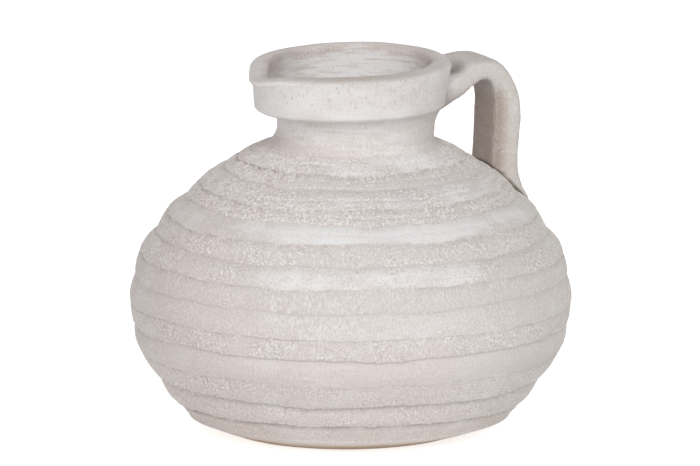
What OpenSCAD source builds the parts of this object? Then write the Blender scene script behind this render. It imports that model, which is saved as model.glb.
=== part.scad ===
// Coil-built ceramic jug vase: a squat ridged body, a short neck, a heavy collar with a
// pulled pouring lip, and one strap handle from the collar to the shoulder.
// Millimetres. The origin is the middle of the foot, +Z is up, +X points to the handle.

/* [Body] */
// Diameter across the fattest ridge
belly_diameter = 280; // [250:1:320]
// Height of the fattest ridge above the table
belly_height = 82; // [72:1:94]
// Height from the fattest ridge to where the body's curve would close
dome_height = 110; // [100:1:130]
// Squareness of the body's curve, where 2 is a plain ellipse
body_fullness = 1.77; // [1.6:0.01:2.2]
// Thickness of the coiled wall
wall_thickness = 9; // [6:0.5:12]

/* [Base] */
// Diameter of the flat that stands on the table
foot_diameter = 158; // [130:1:170]
// Thickness of the base slab
base_thickness = 10; // [7:0.5:14]

/* [Coils] */
// Number of coils in the wall
coil_count = 7; // [5:1:9]
// Width of the top coil as a share of the bottom coil's width
coil_taper = 0.83; // [0.6:0.01:1.2]
// Depth of the groove between two coils
groove_depth = 2.4; // [1:0.1:4]
// Roundness of a coil's ridge, where 1 is a sharp edge and 2 is a plain curve
ridge_roundness = 1.5; // [1.1:0.1:2.5]
// Climb of a seam from the outside of the wall to the inside
seam_lap = 5; // [2:0.5:8]

/* [Neck] */
// Bore of the throat
throat_diameter = 80; // [64:1:88]
// Thickness of the neck's wall at its waist
neck_wall = 9.5; // [6:0.5:11]
// Height of the neck ring at its outside
neck_height = 22.5; // [16:0.5:34]
// How far the neck flares out where it meets the shoulder
neck_flare = 5.5; // [3:0.5:12]

/* [Collar] */
// Diameter of the collar at its rim
collar_diameter = 126; // [120:1:140]
// Diameter of the collar at the foot of its band
band_foot_diameter = 121; // [114:1:124]
// Height of the collar from its seat to its rim
collar_height = 31.5; // [27:0.5:44]
// Height of the collar's rounded underside
underside_height = 4; // [2:0.5:9]
// Thickness of the collar's wall at the rim
rim_thickness = 10; // [7:0.5:14]
// How far the pouring lip is pulled out
lip_reach = 6.5; // [0:0.5:10]
// How far the pouring lip dips below the rim
lip_dip = 6; // [0:0.5:9]
// Half angle of the pouring lip, in degrees
lip_spread = 16; // [10:1:30]

/* [Handle] */
// Width of the strap
strap_width = 36; // [24:1:42]
// Thickness of the strap where it leaves its upper wad
root_thickness = 14; // [9:0.5:17]
// Thickness of the strap down its leg
leg_thickness = 20; // [12:0.5:23]
// Drop from the rim to the middle of the strap's root
root_drop = 19; // [17:0.5:22]
// Angle at which the strap climbs from its upper wad
root_climb = 32; // [14:1:38]
// Distance from the vase's axis to the middle of the leg at the bend
handle_reach = 104.5; // [97:0.5:114]
// Distance from the vase's axis to the middle of the leg at the shoulder
foot_reach = 101; // [92:0.5:108]
// Drop from the strap's root to the end of the bend
bend_drop = 19; // [14:1:26]
// Stiffness of the bend where it leaves the upper wad
root_pull = 15; // [9:1:20]
// Stiffness of the bend where it turns into the leg
leg_pull = 24; // [16:1:30]
// Length of the wad that joins the strap to the collar
upper_wad_length = 12; // [6:0.5:14]
// How far the upper wad spreads above and beside the strap at the collar
wad_spread = 4; // [1:0.5:5]
// How far the upper wad spreads below the strap at the collar
web_drop = 5; // [2:0.5:6]
// Length of the wad that joins the strap to the shoulder
lower_wad_length = 8; // [4:0.5:12]
// How far the lower wad is smeared down the shoulder
tail_length = 13; // [4:0.5:16]

/* [Hidden] */
COIL_NAMES = [for (i = [1 : coil_count]) str("wall_coil_", i)];

slip_white = "#d8d2cb";
raw_clay = "#c3a485";

belly_r = belly_diameter / 2;
foot_r = foot_diameter / 2;
throat_r = throat_diameter / 2;
neck_r = throat_r + neck_wall;
neck_foot_r = neck_r + neck_flare;

// The body's outer curve as a radius at a height, and as a height on the dome at a radius
function body_radius(z) =
    belly_r * sqrt(1 - pow(abs(z - belly_height) / dome_height, body_fullness));
function dome_z(r, r_max, rise) =
    belly_height + rise * pow(1 - pow(r / r_max, 2), 1 / body_fullness);

// The inside of the wall is the same curve, drawn in by the wall's thickness
inner_r_scale = (belly_r - wall_thickness) / belly_r;
inner_z_scale = (dome_height - wall_thickness) / dome_height;
function inner_point(z) =
    [body_radius(z) * inner_r_scale, belly_height + (z - belly_height) * inner_z_scale];
function outer_z_of_inner(z) = belly_height + (z - belly_height) / inner_z_scale;

shoulder_z = dome_z(neck_foot_r, belly_r, dome_height);
throat_z = dome_z(throat_r, belly_r - wall_thickness, dome_height - wall_thickness);
seat_z = shoulder_z + neck_height;
rim_z = seat_z + collar_height;

// Length along the wall from the base slab up to the neck, against height
curve_steps = 120;
curve_z = [for (k = [0 : curve_steps])
    base_thickness + (shoulder_z - base_thickness) * k / curve_steps];
function step_length(k) =
    norm([body_radius(curve_z[k]) - body_radius(curve_z[k - 1]), curve_z[k] - curve_z[k - 1]]);
curve_length = [for (k = 0, s = 0; k <= curve_steps;
    k = k + 1, s = k <= curve_steps ? s + step_length(k) : s) s];
z_by_length = [for (k = [0 : curve_steps]) [curve_length[k], curve_z[k]]];
function height_at(s) = lookup(s, z_by_length);

// Each coil is narrower than the one below it, from the first to the last by coil_taper
coil_share = [for (i = [0 : coil_count - 1]) 1 + (coil_taper - 1) * i / (coil_count - 1)];
function share_below(i) = i == 0 ? 0 : share_below(i - 1) + coil_share[i - 1];
function seam_length(i) = curve_length[curve_steps] * share_below(i) / share_below(coil_count);

// A coil stands proud in the middle and sinks to a groove at each seam. The bottom coil runs
// smoothly into the base slab, and the top coil into the neck.
function coil_sink(i, t) =
    (i == 0 && t < 0.5) || (i == coil_count - 1 && t > 0.5) ? 0
    : groove_depth * pow(abs(2 * t - 1), ridge_roundness);
function outward(z) =
    let (h = 0.05, slope = (body_radius(z + h) - body_radius(z - h)) / (2 * h))
    [1, -slope] / norm([1, slope]);
function coil_point(i, t) =
    let (z = height_at(seam_length(i) + (seam_length(i + 1) - seam_length(i)) * t))
    [body_radius(z), z] - outward(z) * coil_sink(i, t);

// Outer profile of one coil from its lower seam to its upper one, and its inner profile back
ridge_steps = 10;
lining_steps = 5;
function coil_outside(i) = [for (k = [0 : ridge_steps]) coil_point(i, k / ridge_steps)];
function lining_from(i) =
    i == 0 ? outer_z_of_inner(base_thickness)
    : i == coil_count ? outer_z_of_inner(throat_z)
    : height_at(seam_length(i)) + seam_lap;
function coil_inside(i) = [for (k = [lining_steps : -1 : 0])
    inner_point(lining_from(i) + (lining_from(i + 1) - lining_from(i)) * k / lining_steps)];

// Profile of the slab's edge from the foot up to the first coil
edge_steps = 6;
edge_curl = 0.82;
edge_r = body_radius(base_thickness);
slab_edge = [for (k = [0 : edge_steps])
    [foot_r + (edge_r - foot_r) * pow(k / edge_steps, edge_curl), base_thickness * k / edge_steps]];

// Profile of the neck's outside, a hollow curve from the shoulder up to the collar's seat
neck_steps = 8;
neck_fillet = 12;
neck_outside = concat(
    [for (k = [0 : neck_steps]) let (a = 90 * k / neck_steps)
        [neck_r + neck_flare * (1 - sin(a)), shoulder_z + neck_fillet * (1 - cos(a))]],
    [[neck_r, seat_z]]
);

// The collar's profile: up the outside from the seat, over the rim, and down the bowl inside
collar_r = collar_diameter / 2;
band_foot_r = band_foot_diameter / 2;
band_z = seat_z + underside_height;
rim_round = rim_thickness / 2;
rim_foot_z = rim_z - rim_round;
mouth_r = collar_r - rim_thickness;
// The collar's own hole clears the throat's bore by this much, and runs straight for this far
throat_clearance = 0.4;
throat_step = 3;
hole_r = throat_r + throat_clearance;
bowl_z = seat_z + throat_step;
function collar_side(z) =
    band_foot_r + (collar_r - band_foot_r) * (z - band_z) / (rim_foot_z - band_z);
underside = [for (k = [0 : 5]) let (a = 90 * k / 5)
    [neck_r + (band_foot_r - neck_r) * sin(a), seat_z + underside_height * (1 - cos(a))]];
band = [for (k = [1 : 4]) let (z = band_z + (rim_foot_z - band_z) * k / 4) [collar_side(z), z]];
rim_outer = [for (k = [1 : 3]) let (a = 90 * k / 3)
    [collar_r - rim_round + rim_round * cos(a), rim_foot_z + rim_round * sin(a)]];
rim_inner = [for (k = [1 : 3]) let (a = 90 + 90 * k / 3)
    [collar_r - rim_round + rim_round * cos(a), rim_foot_z + rim_round * sin(a)]];
bowl = [for (k = [1 : 7]) let (a = 90 * (1 - k / 7))
    [hole_r + (mouth_r - hole_r) * sin(a), bowl_z + (rim_foot_z - bowl_z) * (1 - cos(a))]];
collar_profile = concat(underside, band, rim_outer, rim_inner, bowl, [[hole_r, seat_z]]);

// The pouring lip pulls the rim out and down on the side away from the handle
collar_sides = 72;
lip_curl = 2;
function lip_pull(p, turn) =
    exp(-pow((turn - 180) / lip_spread, 2)) * pow(max(0, p[1] - band_z) / (rim_z - band_z), lip_curl);
function collar_vertex(p, turn) = let (pull = lip_pull(p, turn), r = p[0] + lip_reach * pull)
    [r * cos(turn), r * sin(turn), p[1] - lip_dip * pull];

// The strap's middle line lies in the plane of X and Z
root_z = rim_z - root_drop;
root_start = [collar_side(root_z), root_z];
root_along = [cos(root_climb), sin(root_climb)];
strap_top = root_start + upper_wad_length * [cos(root_climb / 2), sin(root_climb / 2)];
leg_start = [handle_reach, root_z - bend_drop];
leg_end = [foot_reach, dome_z(foot_reach, belly_r, dome_height)];
leg_along = (leg_end - leg_start) / norm(leg_end - leg_start);
strap_foot = leg_end - lower_wad_length * leg_along;

function bezier(a, b, c, d, t) =
    a * pow(1 - t, 3) + 3 * b * t * pow(1 - t, 2) + 3 * c * t * t * (1 - t) + d * pow(t, 3);
function bezier_along(a, b, c, d, t) =
    let (v = (b - a) * pow(1 - t, 2) + 2 * (c - b) * t * (1 - t) + (d - c) * t * t) v / norm(v);

// One cross-section of the strap: its middle, its direction, half its width, and how far it
// reaches to its outer and its inner side
strap_sides = 24;
strap_squareness = 4;
function squared(c) = sign(c) * pow(abs(c), 2 / strap_squareness);
function strap_ring(middle, along, half_width, outer_half, inner_half) =
    [for (k = [0 : strap_sides - 1])
        let (a = 360 * k / strap_sides, u = squared(cos(a)), v = squared(sin(a)),
            m = middle + [-along[1], along[0]] * u * (u > 0 ? outer_half : inner_half))
        [m[0], v * half_width, m[1]]];

bend_steps = 18;
leg_steps = 6;
half_width = strap_width / 2;
root_half = root_thickness / 2;
leg_half = leg_thickness / 2;
bend = [strap_top, strap_top + root_pull * root_along, leg_start - leg_pull * leg_along, leg_start];
bend_rings = [for (k = [0 : bend_steps])
    let (t = k / bend_steps, half = root_half + (leg_half - root_half) * pow(t, 3))
    strap_ring(bezier(bend[0], bend[1], bend[2], bend[3], t),
        bezier_along(bend[0], bend[1], bend[2], bend[3], t), half_width, half, half)];
leg_rings = [for (k = [1 : leg_steps])
    strap_ring(leg_start + (strap_foot - leg_start) * k / leg_steps, leg_along,
        half_width, leg_half, leg_half)];

// A wad swells from the strap's end to the wall and runs on into it, to be cut to the wall
wad_steps = 4;
function upper_wad_ring(t, bite) = let (swell = t * t, turn = root_climb * (1 - t))
    strap_ring(strap_top + (root_start - strap_top) * t - [bite, 0], [cos(turn), sin(turn)],
        half_width + wad_spread * swell, root_half + wad_spread * swell, root_half + web_drop * swell);
upper_wad_rings = concat([for (k = [0 : wad_steps]) upper_wad_ring(k / wad_steps, 0)],
    [upper_wad_ring(1, rim_thickness)]);
tail_tip_r = norm([foot_reach + leg_half + tail_length, half_width]);
lower_wad_run = strap_foot[1] - dome_z(tail_tip_r, belly_r, dome_height) + groove_depth;
lower_wad_rings = [for (k = [0 : wad_steps])
    let (t = k / wad_steps, swell = wad_spread * t * t, tail = tail_length * t * t)
    strap_ring(strap_foot + leg_along * lower_wad_run * t, leg_along,
        half_width + swell, leg_half + tail, leg_half)];

// A closed skin over a list of rings that all have the same number of points
module skin(rings, closed_loop = false) {
    sides = len(rings[0]);
    last = len(rings) - 1;
    count = closed_loop ? len(rings) : last;
    side_faces = [for (i = [0 : count - 1], k = [0 : sides - 1])
        let (a = i * sides, b = ((i + 1) % len(rings)) * sides, n = (k + 1) % sides)
        each [[a + k, b + n, b + k], [a + k, a + n, b + n]]];
    end_faces = closed_loop ? [] : [
        [for (k = [sides - 1 : -1 : 0]) k],
        [for (k = [0 : sides - 1]) last * sides + k]
    ];
    polyhedron(points = [for (ring = rings, p = ring) p], faces = concat(side_faces, end_faces));
}

// The body filled to its axis, and the collar filled to its axis and down to the shoulder, which
// the wads are cut to
module body_core() {
    rotate_extrude($fn = 180)
        polygon(concat([[0, 0]], slab_edge,
            [for (i = [0 : coil_count - 1]) each coil_outside(i)], [[0, shoulder_z]]));
}

module collar_core() {
    rotate_extrude($fn = 180)
        polygon(concat([[0, shoulder_z], [band_foot_r, shoulder_z], [band_foot_r, band_z]],
            band, rim_outer, [[0, rim_z]]));
}

module base_slab() {
    color(raw_clay)
        rotate_extrude($fn = 180)
            polygon(concat([[0, 0]], slab_edge, [[0, base_thickness]]));
}

module wall_coil(i) {
    color(slip_white)
        rotate_extrude($fn = 180)
            polygon(concat(coil_outside(i), coil_inside(i)));
}

module neck_ring() {
    color(slip_white)
        rotate_extrude($fn = 180)
            polygon(concat(neck_outside, [[throat_r, seat_z], [throat_r, throat_z]]));
}

module rim_collar() {
    color(slip_white)
        skin([for (k = [0 : collar_sides - 1])
            [for (p = collar_profile) collar_vertex(p, 360 * k / collar_sides)]], closed_loop = true);
}

module upper_handle_wad() {
    color(slip_white)
        difference() {
            skin(upper_wad_rings);
            collar_core();
        }
}

module handle_strap() {
    color(slip_white) skin(concat(bend_rings, leg_rings));
}

module lower_handle_wad() {
    color(slip_white)
        difference() {
            skin(lower_wad_rings);
            body_core();
        }
}

base_slab();
for (i = [0 : coil_count - 1]) wall_coil(i);
neck_ring();
rim_collar();
upper_handle_wad();
handle_strap();
lower_handle_wad();
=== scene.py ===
import math
import bmesh
import bpy
import numpy as np
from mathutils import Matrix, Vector


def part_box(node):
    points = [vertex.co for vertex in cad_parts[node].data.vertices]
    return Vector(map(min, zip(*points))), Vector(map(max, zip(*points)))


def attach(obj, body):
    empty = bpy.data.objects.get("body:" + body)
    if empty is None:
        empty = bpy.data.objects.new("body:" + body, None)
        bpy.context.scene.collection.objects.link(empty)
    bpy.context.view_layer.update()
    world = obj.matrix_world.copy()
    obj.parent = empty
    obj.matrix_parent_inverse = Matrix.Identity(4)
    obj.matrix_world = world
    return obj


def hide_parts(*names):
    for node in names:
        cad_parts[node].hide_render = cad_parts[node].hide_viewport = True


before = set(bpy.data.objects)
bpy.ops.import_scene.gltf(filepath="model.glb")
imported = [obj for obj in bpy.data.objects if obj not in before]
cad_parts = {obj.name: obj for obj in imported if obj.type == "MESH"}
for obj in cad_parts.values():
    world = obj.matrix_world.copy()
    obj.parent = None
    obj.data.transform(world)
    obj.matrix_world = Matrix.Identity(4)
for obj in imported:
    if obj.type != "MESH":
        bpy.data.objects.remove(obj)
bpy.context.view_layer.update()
print("frame loaded:", len(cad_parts), "nodes")

mm = 0.001
fullTurn = 2 * math.pi
leftTurn = math.radians(155)  # the side of the pot that is leftmost in the view
frontTurn = math.radians(-115)  # the side that faces the view
rightX, rightY = -math.cos(leftTurn), -math.sin(leftTurn)  # the way to the right of the view


class Wire:
    # one output socket of a node tree; arithmetic on it adds Math nodes
    def __init__(self, tree, socket):
        self.tree = tree
        self.socket = socket

    def add(self, kind, settings=None, inputs=None, output=0):
        node = self.tree.nodes.new(kind)
        for name, value in (settings or {}).items():
            setattr(node, name, value)
        for key, value in (inputs or {}).items():
            if isinstance(value, Wire):
                self.tree.links.new(value.socket, node.inputs[key])
            else:
                node.inputs[key].default_value = value
        return Wire(self.tree, node.outputs[output])

    def of(self, output):
        return Wire(self.tree, self.socket.node.outputs[output])

    def math(self, operation, *values):
        return self.add("ShaderNodeMath", {"operation": operation}, dict(enumerate((self,) + values)))

    def __add__(self, other):
        return self.math("ADD", other)

    def __radd__(self, other):
        return self.math("ADD", other)

    def __sub__(self, other):
        return self.math("SUBTRACT", other)

    def __rsub__(self, other):
        return self.add("ShaderNodeMath", {"operation": "SUBTRACT"}, {0: other, 1: self})

    def __mul__(self, other):
        return self.math("MULTIPLY", other)

    def __rmul__(self, other):
        return self.math("MULTIPLY", other)

    def __truediv__(self, other):
        return self.math("DIVIDE", other)

    def __pow__(self, other):
        return self.math("POWER", other)

    def step(self, low, high):
        ends = {"Value": self, "From Min": low, "From Max": high}
        return self.add("ShaderNodeMapRange", {"interpolation_type": "SMOOTHSTEP"}, ends)

    def ramp(self, low, high):
        return self.add("ShaderNodeMapRange", {}, {"Value": self, "From Min": low, "From Max": high})

    def noise(self, scale, detail, w=None):
        inputs = {"Vector": self, "Scale": scale, "Detail": detail}
        if w is None:
            return self.add("ShaderNodeTexNoise", {"noise_dimensions": "3D"}, inputs)
        inputs["W"] = w
        return self.add("ShaderNodeTexNoise", {"noise_dimensions": "4D"}, inputs)

    def squeeze(self, amount):
        # a pattern on these coordinates has its height divided by the amount
        return self.add("ShaderNodeVectorMath", {"operation": "MULTIPLY"}, {0: self, 1: (1, 1, amount)})

    def times(self, amount):
        return self.add("ShaderNodeVectorMath", {"operation": "SCALE"}, {0: self, "Scale": amount})

    def plus(self, other):
        return self.add("ShaderNodeVectorMath", {"operation": "ADD"}, {0: self, 1: other})

    def measure(self, operation, other):
        # one number from two vectors, such as the distance between them
        return self.add("ShaderNodeVectorMath", {"operation": operation}, {0: self, 1: other}, output=1)

    def height(self):
        return self.add("ShaderNodeSeparateXYZ", {}, {0: self}, output=2)

    def mixColour(self, first, second):
        inputs = {0: self, 6: first, 7: second}
        return self.add("ShaderNodeMix", {"data_type": "RGBA"}, inputs, output=2)


def linearColour(red, green, blue):
    # an 8-bit screen colour as the linear colour that a shader takes
    parts = [c / 255 for c in (red, green, blue)]
    return tuple(c / 12.92 if c <= 0.04045 else ((c + 0.055) / 1.055) ** 2.4 for c in parts) + (1.0,)


def newTree(name, numbers):
    # a geometry tree with a mesh in, one named number per entry, a material, and a mesh out
    tree = bpy.data.node_groups.new(name, "GeometryNodeTree")
    tree.is_modifier = True
    tree.interface.new_socket("Mesh", in_out="INPUT", socket_type="NodeSocketGeometry")
    tree.interface.new_socket("Mesh", in_out="OUTPUT", socket_type="NodeSocketGeometry")
    for label in numbers:
        tree.interface.new_socket(label, in_out="INPUT", socket_type="NodeSocketFloat")
    tree.interface.new_socket("Material", in_out="INPUT", socket_type="NodeSocketMaterial")
    source = tree.nodes.new("NodeGroupInput")
    return tree, {socket.name: Wire(tree, socket) for socket in source.outputs if socket.name}


def endTree(mesh, material):
    mesh = mesh.add("GeometryNodeRealizeInstances", {}, {"Geometry": mesh})
    mesh = mesh.add("GeometryNodeSetMaterial", {}, {"Geometry": mesh, "Material": material})
    sink = mesh.tree.nodes.new("NodeGroupOutput")
    mesh.tree.links.new(mesh.socket, sink.inputs[0])


def useTree(piece, tree, values):
    modifier = piece.modifiers.new(tree.name, "NODES")
    modifier.node_group = tree
    for item in tree.interface.items_tree:
        if item.in_out == "INPUT" and item.name in values:
            modifier[item.identifier] = values[item.name]


def keepAttribute(mesh, name, value, kind="FLOAT"):
    return mesh.add(
        "GeometryNodeStoreNamedAttribute",
        {"data_type": kind, "domain": "POINT"},
        {"Geometry": mesh, "Name": name, "Value": value},
    )


def readAttribute(wire, name, kind="FLOAT"):
    return wire.add("GeometryNodeInputNamedAttribute", {"data_type": kind}, {"Name": name})


# the wall: seven coils that share one body curve
wallSizes = {
    "bellyRadius": 139.1 * mm,
    "bellyHeight": 82 * mm,
    "domeHeight": 110 * mm,
    "fullness": 1.77,
    "thickness": 9 * mm,
    "lean": 0.013,  # how far the axis drifts to the right of the view, per unit of height
    "leanFrom": 50 * mm,
    "oval": 0.85 * mm,  # the belly is a little out of round
    "ovalTurn": math.radians(-40),  # and widest on this side and the one opposite
    "ovalStart": (12 * mm, 60 * mm),  # heights over which the oval sets in
    "ovalEnd": (95 * mm, 140 * mm),  # and over which it fades
}


def wallAngle(height):
    # the angle on the body curve at a height
    rise = height - wallSizes["bellyHeight"]
    share = (abs(rise) / wallSizes["domeHeight"]) ** (wallSizes["fullness"] / 2)
    return math.copysign(math.asin(min(1.0, share)), rise)


def wallRadius(height):
    return wallSizes["bellyRadius"] * math.cos(wallAngle(height))


def leanAt(height):
    return wallSizes["lean"] * (height - wallSizes["leanFrom"])


def wallPoint(height, depth):
    # radius and height of a point sunk by a depth under the body curve
    angle = wallAngle(height)
    bulge = 2 / wallSizes["fullness"]
    out = abs(math.sin(angle)) ** (bulge - 1) * math.cos(angle) * bulge * wallSizes["domeHeight"]
    up = math.sin(angle) * wallSizes["bellyRadius"]
    length = math.hypot(out, up)
    return wallRadius(height) - depth * out / length, height - depth * up / length


# lists run from the foot up: eight seams, and the seven coils between them. lengths are in mm
coilSizes = {
    "around": 1200,
    "outerRows": 62,
    "seamRows": 2,
    "innerRows": 5,
    "seamHeights": (10, 34.7, 67.3, 97.9, 125.8, 149.5, 168.2, 182.06),
    "grooves": (-1.15, 2.2, 1.5, 1.2, 1.7, 2.9, 2.0, 0.0),
    "seamShades": (0.0, 0.26, 0.07, 0.09, 0.1, 0.06, 0.12, 0.0),
    "crestHeights": (21.2, 52.2, 82.1, 112.4, 137.9, 157.4, 174.4),
    "crestWaves": (1.8, 0.0, 0.0, 0.0, 0.0, 0.0, 0.0),  # its rise at the front and fall at the sides
    "slipTurns": (-100, -100, -100, -108, -93, -90, -90),  # where the white slip is thickest and the coil is lit most in paint, in degrees: paleness fades and painted shade under the crest deepens away from it
    "lengths": {
        "Swell": (0.7, 1.3, 0.2, 2.1, 1.4, -0.1, 0.2),
        "Ledge": (1.7, 0.5, 0.8, 0.8, 1.2, 1.5, 2.0),
        "Line Depth": (0.0, 0.0, 0.0, 0.15, 0.25, 0.75, 0.65),
    },
    "shares": {
        "Climb": (2.2, 2.6, 2.6, 2.2, 0.9, 2.2, 2.2),  # the power of the curve up to the next seam
        "Overhang": (0.6, 0.65, 0.6, 0.25, 0.25, 0.3, 0.5),  # how much of the lower groove is overhang
        "Upper Line": (0.5, 0.6, 0.5, 0.55, 0.5, 0.39, 0.5),  # places of the two throwing lines
        "Lower Line": (-0.7, -0.6, -0.5, -0.55, -0.6, -0.53, -0.5),
        "Crest Shade": (0.95, 0.13, 0.18, 0.2, 0.22, 0.22, 0.28),
        "Lower Sand": (0.8, 0.95, 1.0, 0.7, 1.0, 1.15, 1.0),
        "Upper Sand": (0.95, 0.4, 0.65, 0.95, 0.6, 1.1, 1.1),
        # paler upper and darker lower halves: partly whiter slip, partly painted light above each crest
        # and painted shade below it
        "Lower Pale": (0.05, -0.1, -0.2, -0.3, -0.45, -0.5, -0.4),
        "Upper Pale": (-0.2, -0.2, -0.05, 0.38, 0.85, 0.0, 0.2),
        "Lower Bare": (0.36, 0.0, 0.0, 0.0, 0.0, 0.0, 0.0),
        "Rings": (1.0, 1.0, 1.0, 1.0, 1.1, 1.6, 2.2),  # how strongly brush and finger marks run round
    },
    "wanders": (  # unevenness of crests and seams: its angle on the body curve, scale, detail and seed
        (0.07, 2.1, 2.5, 0.0),
        (0.026, 7.0, 1.0, 7.0),
        (0.016, 26.0, 1.0, 0.0),
        (0.008, 85.0, 1.0, 0.0),
    ),
    "crestSeed": 20.5,
    "lineSeed": 30.5,
    "marks": {  # noise round a coil: scale, detail and seed
        "groove": (1.7, 2.0, 40.0),
        "gap": (9.0, 2.0, 60.0),
        "nick": (45.0, 2.0, 0.0),
        "line": (5.0, 2.0, 90.0),
        "sand": (3.0, 2.0, 80.0),
        "daub": (7.0, 2.0, 110.0),
    },
    "grooveVary": 1.3,
    "lineDrift": 2.5,  # the throwing lines wander more than a seam
    "crestRound": 0.45,  # how far each crest is rubbed down
    "weld": 0.001,
    # shares of the way from a crest to a seam
    "undercut": 0.09,
    "ledgeWidth": 0.08,
    "rubWidth": 0.28,
    "lineWidth": (0.03, 0.11),
    "plainEnd": 0.7,  # from here on the outermost seams are plain, to fit the slab and the neck
}


def coilTree():
    size = coilSizes
    ends = ("Angle", "Groove", "Seam", "Wander", "Hold", "Shade")
    numbers = [end + label for end in ("Low ", "High ") for label in ends]
    numbers += ["Crest Angle", "Crest Wave", "Slip Turn", *size["lengths"], *size["shares"]]
    tree, at = newTree("coilRing", numbers)
    outer, seam, inner = size["outerRows"], size["seamRows"], size["innerRows"]
    loop = outer + 2 * seam + inner + 1
    lowSeam, highSeam = at["Low Seam"], at["High Seam"]
    grid = lowSeam.add("GeometryNodeMeshGrid", {}, {"Vertices X": size["around"] + 1, "Vertices Y": loop})
    index = lowSeam.add("GeometryNodeInputIndex")
    column = (index / loop + 0.0005).math("FLOOR")  # the small number outweighs rounding
    row = index - column * loop
    turn = column * (fullTurn / size["around"])
    circle = turn.add("ShaderNodeCombineXYZ", {}, {0: turn.math("COSINE"), 1: turn.math("SINE")})

    # seams are shared by two coils, so their wander depends on the seam's number alone
    def wandering(number, amount):
        waves = 0.0
        for angle, scale, detail, seed in size["wanders"]:
            waves = (circle.noise(scale, detail, w=number + seed) - 0.5) * angle + waves
        return waves * amount

    def marks(kind, number):
        scale, detail, seed = size["marks"][kind]
        return circle.noise(scale, detail, w=number + seed)

    low = at["Low Angle"] + wandering(lowSeam, at["Low Wander"])
    high = at["High Angle"] + wandering(highSeam, at["High Wander"])
    crest = at["Crest Angle"] + wandering(lowSeam + size["crestSeed"], 1.0)
    crest = crest + ((turn - frontTurn) * 2.0).math("COSINE") * at["Crest Wave"]
    lowVary = (marks("groove", lowSeam) - 0.5) * at["Low Wander"]
    highVary = (marks("groove", highSeam) - 0.5) * at["High Wander"]
    lowGroove = at["Low Groove"] * (lowVary * size["grooveVary"] + 1.0)
    highGroove = at["High Groove"] * (highVary * size["grooveVary"] + 1.0)

    # place of a row on the loop: along is -1 at the lower seam, 0 at the crest, 1 at the upper seam
    along = (row / outer).math("MINIMUM", 1.0) * 2.0 - 1.0
    reach = along.math("ABSOLUTE")
    below = along.math("MINIMUM", 0.0)
    above = along.math("MAXIMUM", 0.0)
    back = (row - (outer + seam)).ramp(0.0, inner)
    inward = (row - outer).ramp(0.0, seam) - (row - (outer + seam + inner)).ramp(0.0, seam)
    angle = crest + below * (crest - low) + above * (high - crest) + back * (low - high)

    # a coil flares down to its crest, steps in below it and overhangs the seam under it
    lowSide = along.math("LESS_THAN", 0.0)
    undercut = reach.step(1.0 - size["undercut"], 1.0)
    curve = reach * reach
    fall = lowGroove * (curve + (undercut - curve) * at["Overhang"])
    climb = highGroove * (reach ** at["Climb"])
    depth = fall * lowSide + climb * (1.0 - lowSide) - at["Swell"] * (1.0 - curve)
    rubbed = (1.0 - reach.step(0.0, size["rubWidth"])) * (1.0 - lowSide) + (1.0 - reach) * lowSide
    depth = depth + rubbed * (size["crestRound"] * mm)
    broken = marks("gap", lowSeam).step(0.2, 0.62)
    broken = broken * (marks("nick", lowSeam).step(0.25, 0.65) * 0.5 + 0.5)
    ledge = at["Ledge"] * broken * lowSide * reach.step(0.0, size["ledgeWidth"]) * (1.0 - reach)
    lines = marks("line", lowSeam).step(0.35, 0.6) * at["Line Depth"]
    drift = wandering(lowSeam + size["lineSeed"], size["lineDrift"])
    thin = 0.0
    for place in ("Upper Line", "Lower Line"):
        aside = (along - at[place] - drift).math("ABSOLUTE")
        thin = (1.0 - aside.step(*size["lineWidth"])) + thin
    depth = depth + ledge + back * (lowGroove - highGroove) + lines * thin

    # the body curve at that angle, and the point sunk under it
    sine = angle.math("SINE")
    cosine = angle.math("COSINE")
    bulge = 2 / wallSizes["fullness"]
    rise = sine.math("ABSOLUTE") ** bulge * sine.math("SIGN")
    slopeOut = sine.math("ABSOLUTE") ** (bulge - 1) * cosine * (bulge * wallSizes["domeHeight"])
    slopeUp = sine * wallSizes["bellyRadius"]
    length = (slopeOut * slopeOut + slopeUp * slopeUp).math("SQRT")
    normalOut = slopeOut / length
    normalUp = slopeUp / length
    wall = wallSizes["thickness"]
    heightOut = rise * wallSizes["domeHeight"] + wallSizes["bellyHeight"] - normalUp * depth
    oval = ((turn - wallSizes["ovalTurn"]) * 2.0).math("COSINE") * wallSizes["oval"]
    oval = oval * heightOut.step(*wallSizes["ovalStart"]) * (1.0 - heightOut.step(*wallSizes["ovalEnd"]))
    radiusOut = cosine * wallSizes["bellyRadius"] - normalOut * depth + oval
    radiusIn = cosine * (wallSizes["bellyRadius"] - wall)
    heightIn = rise * (wallSizes["domeHeight"] - wall) + wallSizes["bellyHeight"]
    radius = radiusOut + inward * (radiusIn - radiusOut)
    height = heightOut + inward * (heightIn - heightOut)
    slide = (height - wallSizes["leanFrom"]) * wallSizes["lean"]
    upright = slide.add("ShaderNodeCombineXYZ", {}, {0: slide * rightX, 1: slide * rightY, 2: height})
    place = circle.times(radius).plus(upright)
    shaped = grid.add("GeometryNodeSetPosition", {}, {"Geometry": grid, "Position": place})

    hold = 1.0 - at["Low Hold"] * (1.0 - along.step(-1.0, -size["plainEnd"]))
    hold = hold * (1.0 - at["High Hold"] * along.step(size["plainEnd"], 1.0)) * (1.0 - inward)
    normal = circle.times(normalOut).plus(circle.add("ShaderNodeCombineXYZ", {}, {2: normalUp}))
    shaped = keepAttribute(shaped, "push", normal.times(hold), "FLOAT_VECTOR")
    for name, value in coilLooks(at, turn, along, inward, undercut, broken, marks).items():
        shaped = keepAttribute(shaped, name, value)
    weld = {"Geometry": shaped, "Distance": size["weld"] * mm}
    endTree(shaped.add("GeometryNodeMergeByDistance", {}, weld), at["Material"])
    return tree


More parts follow.
